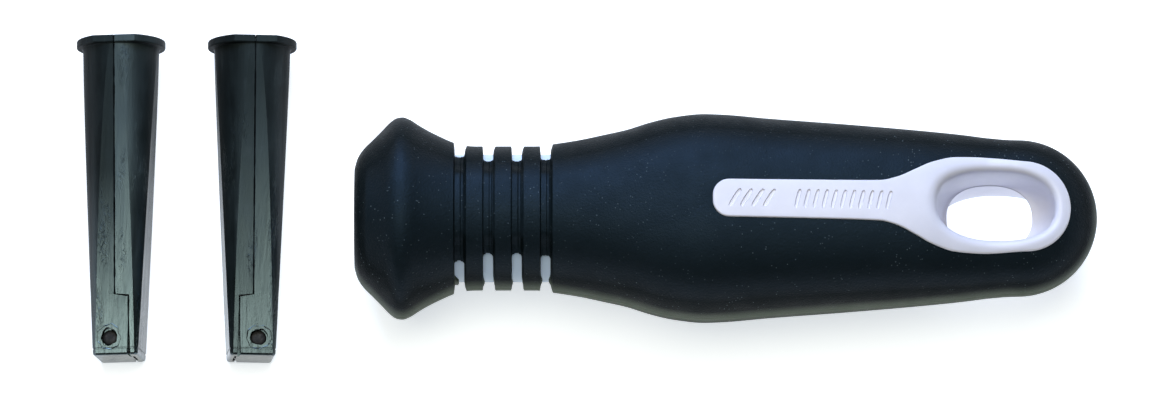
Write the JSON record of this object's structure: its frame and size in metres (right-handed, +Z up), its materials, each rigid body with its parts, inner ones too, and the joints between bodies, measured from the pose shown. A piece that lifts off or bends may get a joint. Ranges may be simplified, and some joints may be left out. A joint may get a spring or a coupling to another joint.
{
  "type": "file handle with tang inserts",
  "caption": "Ergonomic over-moulded handle for files and tanged tools, with a hang hole, laid out beside its hinged tapered tang inserts.",
  "frame": {"origin": "on the surface that the set lies on, under the middle of its bounding box", "axes": "+X along the handle from its socket mouth to its hang hole, +Y towards the inserts' flanges, +Z up"},
  "size_m": [0.175, 0.056, 0.0306],
  "materials": {
    "grip_rubber": "satin, near-black with a navy sheen",
    "core_plastic": "pale lavender silver, fine satin",
    "insert_nylon": "black glass-filled, semi-gloss facets",
    "pin_plastic": "black, dull"
  },
  "bodies": {
    "handle": {"rubber_grip": "grip_rubber", "core_upper_half": "core_plastic", "core_lower_half": "core_plastic"},
    "small_insert": {"small_insert_tongue_half": "insert_nylon"},
    "small_insert_jaw": {"small_insert_clevis_half": "insert_nylon", "small_insert_hinge_pin": "pin_plastic"},
    "large_insert": {"large_insert_tongue_half": "insert_nylon"},
    "large_insert_jaw": {"large_insert_clevis_half": "insert_nylon", "large_insert_hinge_pin": "pin_plastic"}
  },
  "joints": [
    {"name": "small_insert_lift", "type": "slide", "parent": "handle", "child": "small_insert", "axis": [0, 0, 1], "range_m": [0, 0.04]},
    {"name": "small_insert_hinge", "type": "hinge", "parent": "small_insert", "child": "small_insert_jaw", "pos_m": [-0.08086, -0.02463, 0.00443], "axis": [-0.165, -0.0509, 0.985], "range_deg": [0, 4.5]},
    {"name": "large_insert_lift", "type": "slide", "parent": "handle", "child": "large_insert", "axis": [0, 0, 1], "range_m": [0, 0.04]},
    {"name": "large_insert_hinge", "type": "hinge", "parent": "large_insert", "child": "large_insert_jaw", "pos_m": [-0.05633, -0.02463, 0.00433], "axis": [-0.1132, 0.0514, -0.9922], "range_deg": [0, 4.5]}
  ]
}
